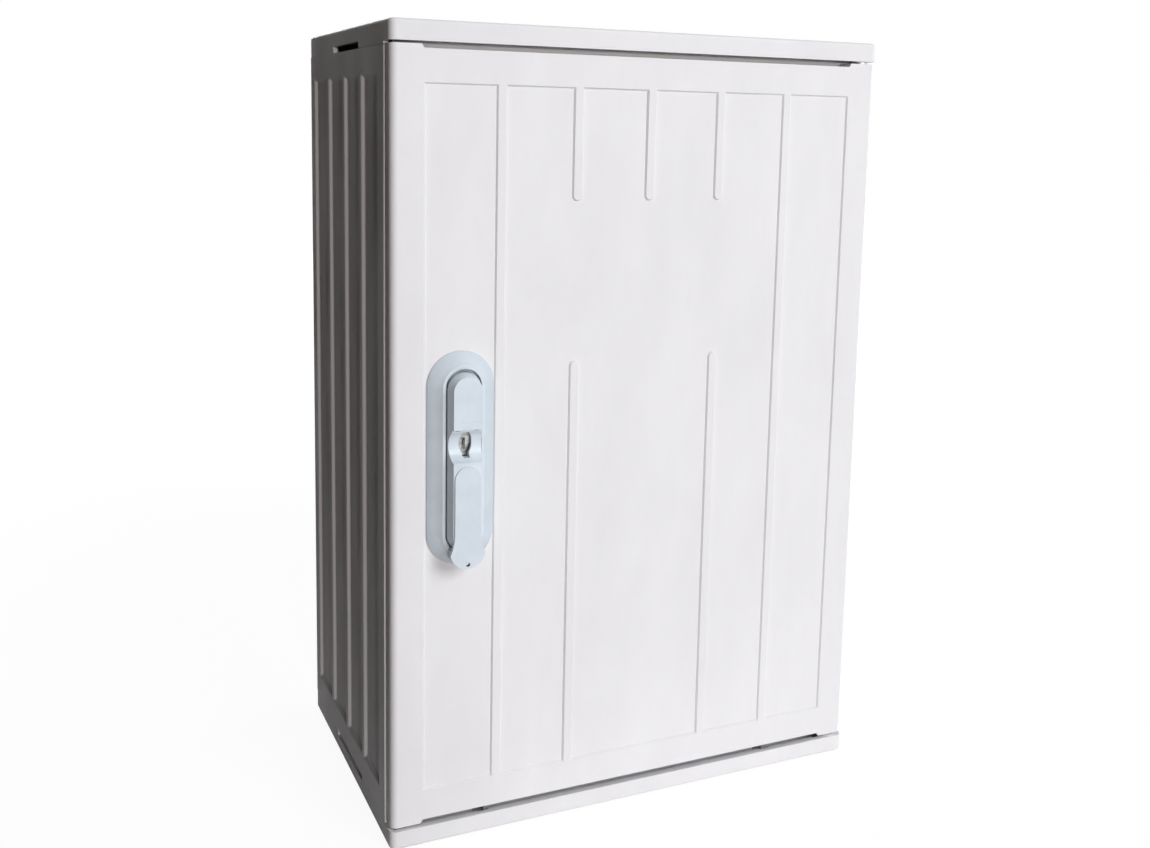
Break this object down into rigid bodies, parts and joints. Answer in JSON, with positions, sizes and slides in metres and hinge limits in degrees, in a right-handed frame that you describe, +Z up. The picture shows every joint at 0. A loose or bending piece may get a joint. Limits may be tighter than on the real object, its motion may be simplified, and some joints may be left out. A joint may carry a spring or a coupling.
{
  "type": "outdoor meter cabinet",
  "caption": "Outdoor meter cabinet in ribbed glass-fibre polyester with a hinged door, swing-handle rod lock, key cylinder, meter board and cable entries.",
  "frame": {"origin": "middle of the base underside, under the centre of the casing", "axes": "+X to the right seen from the front, -Y to the front, +Z up"},
  "size_m": [0.4, 0.2691, 0.6],
  "materials": {
    "casing": "fine pressed texture",
    "lock_plastic": "satin",
    "nickel": "satin nickel plate",
    "zinc": "zinc plate",
    "board": "matt",
    "rubber": "matt"
  },
  "bodies": {
    "cabinet": {"roof": "casing", "base": "casing", "left_side": "casing", "right_side": "casing", "back_wall": "casing", "wall_screws": "zinc", "roof_screws": "zinc", "base_screws": "zinc", "upper_hinge_pin": "zinc", "lower_hinge_pin": "zinc", "upper_rail": "zinc", "lower_rail": "zinc", "rail_screws": "zinc", "meter_board": "board", "board_screws": "zinc", "cable_plate": "casing", "cable_grommets": "rubber", "cable_plate_screws": "zinc"},
    "door": {"door_panel": "casing", "escutcheon": "lock_plastic", "lock_case": "zinc", "lock_cover": "zinc", "lock_case_screws": "zinc", "lock_cover_screws": "zinc", "key_cylinder": "nickel", "upper_rod_guide": "lock_plastic", "lower_rod_guide": "lock_plastic", "guide_screws": "zinc"},
    "spindle": {"lock_spindle": "nickel", "rod_pinion": "nickel"},
    "handle": {"handle": "lock_plastic", "handle_pin": "nickel"},
    "cover": {"cylinder_cover": "lock_plastic"},
    "plug": {"cylinder_plug": "nickel", "cylinder_cam": "zinc"},
    "upper_rod": {"upper_lock_rod": "zinc"},
    "lower_rod": {"lower_lock_rod": "zinc"}
  },
  "joints": [
    {"name": "door_hinge", "type": "hinge", "parent": "cabinet", "child": "door", "pos_m": [0.19, -0.117, 0.3], "axis": [0, 0, 1], "range_deg": [0, 135]},
    {"name": "handle_turn", "type": "hinge", "parent": "door", "child": "spindle", "pos_m": [-0.1475, -0.1215, 0.344], "axis": [0, -1, 0], "range_deg": [0, 90]},
    {"name": "handle_lift", "type": "hinge", "parent": "spindle", "child": "handle", "pos_m": [-0.1475, -0.1331, 0.344], "axis": [-1, 0, 0], "range_deg": [0, 30]},
    {"name": "cover_slide", "type": "slide", "parent": "handle", "child": "cover", "axis": [0, 0, -1], "range_m": [0, 0.0215]},
    {"name": "key_turn", "type": "hinge", "parent": "door", "child": "plug", "pos_m": [-0.1475, -0.1215, 0.3045], "axis": [0, -1, 0], "range_deg": [0, 90]},
    {"name": "upper_rod_slide", "type": "slide", "parent": "door", "child": "upper_rod", "axis": [0, 0, 1], "range_m": [0, 0.01257]},
    {"name": "lower_rod_slide", "type": "slide", "parent": "door", "child": "lower_rod", "axis": [0, 0, -1], "range_m": [0, 0.01257]}
  ],
  "couplings": [
    {"joint": "upper_rod_slide", "follows": "handle_turn", "m_per_rad": 0.008},
    {"joint": "lower_rod_slide", "follows": "handle_turn", "m_per_rad": 0.008}
  ]
}
